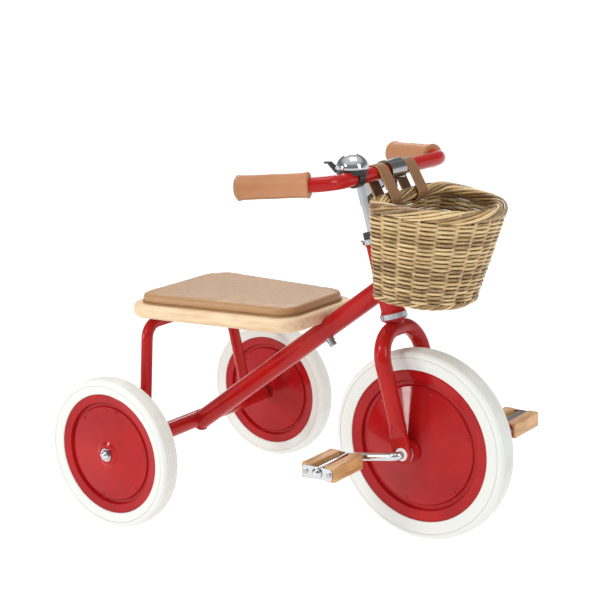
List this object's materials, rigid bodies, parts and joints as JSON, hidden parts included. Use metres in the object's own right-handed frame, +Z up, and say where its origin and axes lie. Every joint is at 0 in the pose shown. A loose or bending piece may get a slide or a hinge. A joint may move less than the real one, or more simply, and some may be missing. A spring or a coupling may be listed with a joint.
{
  "type": "children's tricycle",
  "caption": "Children's tricycle: steel frame, front wheel driven by cranks through its hub, wooden seat with a pad, bell, and a wicker basket strapped to the handlebar.",
  "frame": {"origin": "on the ground, in the middle of the length and width", "axes": "+X forward, +Y to the rider's left, +Z up"},
  "size_m": [0.7188, 0.48, 0.606],
  "materials": {
    "red_paint": "gloss enamel",
    "chrome": "polished",
    "zinc": "zinc plated, satin",
    "tyre_white": "matte, off-white",
    "birch": "clear satin lacquer",
    "oak": "oiled",
    "tan_leather": "smooth, semi-matte",
    "brown_leather": "smooth, raw edge",
    "wicker": "woven willow, clear lacquer",
    "black_plastic": "moulded",
    "white_plastic": "moulded nylon"
  },
  "bodies": {
    "frame": {"main_tube": "red_paint", "head_tube": "red_paint", "rear_cross_tube": "red_paint", "seat_hoop": "red_paint", "seat_tabs": "red_paint", "seat_screws": "zinc", "seat_board": "birch", "seat_pad": "tan_leather", "seat_bolt": "zinc", "seat_bolt_nuts": "zinc", "headset_cups": "chrome", "headset_bearings": "white_plastic", "rear_axle": "zinc", "axle_spacers": "black_plastic", "axle_cap_nuts": "chrome"},
    "steering": {"fork": "red_paint", "steerer": "red_paint", "crown_race": "red_paint", "lock_nut": "black_plastic", "fork_bushes": "white_plastic"},
    "bar_assembly": {"stem": "chrome", "stem_wedge": "zinc", "stem_bolt": "zinc", "clamp_bolt": "zinc", "handlebar": "red_paint", "grip_right": "tan_leather", "grip_left": "tan_leather", "bar_end_plugs": "black_plastic", "bell_base": "black_plastic", "bell_dome": "chrome", "bell_lever_pin": "zinc", "basket": "wicker", "strap_right": "brown_leather", "strap_left": "brown_leather", "strap_studs": "chrome"},
    "bell_thumb_lever": {"bell_lever": "black_plastic"},
    "front_wheel": {"front_tyre": "tyre_white", "front_disc_right": "red_paint", "front_disc_left": "red_paint", "front_hub": "red_paint", "hub_core": "white_plastic", "drive_pin": "zinc", "crank": "chrome", "pedal_end_caps": "chrome"},
    "pedal_right": {"pedal_right_blocks": "oak", "pedal_right_cage": "chrome", "pedal_right_screws": "zinc"},
    "pedal_left": {"pedal_left_blocks": "oak", "pedal_left_cage": "chrome", "pedal_left_screws": "zinc"},
    "rear_wheel_right": {"rear_right_tyre": "tyre_white", "rear_right_discs": "red_paint", "rear_right_hub": "red_paint", "rear_right_bushes": "black_plastic"},
    "rear_wheel_left": {"rear_left_tyre": "tyre_white", "rear_left_discs": "red_paint", "rear_left_hub": "red_paint", "rear_left_bushes": "black_plastic"}
  },
  "joints": [
    {"name": "steering_turn", "type": "hinge", "parent": "frame", "child": "steering", "pos_m": [0.14602, 0, 0.40422], "axis": [-0.2419, 0, 0.9703], "range_deg": [-60, 60]},
    {"name": "handlebar_height", "type": "slide", "parent": "steering", "child": "bar_assembly", "axis": [-0.2419, 0, 0.9703], "range_m": [-0.012, 0.02]},
    {"name": "bell_lever_swing", "type": "hinge", "parent": "bar_assembly", "child": "bell_thumb_lever", "pos_m": [0.13282, -0.096, 0.57798], "axis": [0, 0, 1], "range_deg": [0, 30], "stiffness_Nm_per_rad": 0.02},
    {"name": "front_wheel_spin", "type": "hinge", "parent": "steering", "child": "front_wheel", "pos_m": [0.2094, 0, 0.15], "axis": [0, 1, 0], "continuous": true},
    {"name": "pedal_right_spin", "type": "hinge", "parent": "front_wheel", "child": "pedal_right", "pos_m": [0.12643, -0.125, 0.13686], "axis": [0, 1, 0], "continuous": true},
    {"name": "pedal_left_spin", "type": "hinge", "parent": "front_wheel", "child": "pedal_left", "pos_m": [0.29237, 0.125, 0.16314], "axis": [0, 1, 0], "continuous": true},
    {"name": "rear_wheel_right_spin", "type": "hinge", "parent": "frame", "child": "rear_wheel_right", "pos_m": [-0.2371, -0.212, 0.1223], "axis": [0, 1, 0], "continuous": true},
    {"name": "rear_wheel_left_spin", "type": "hinge", "parent": "frame", "child": "rear_wheel_left", "pos_m": [-0.2371, 0.212, 0.1223], "axis": [0, 1, 0], "continuous": true}
  ]
}
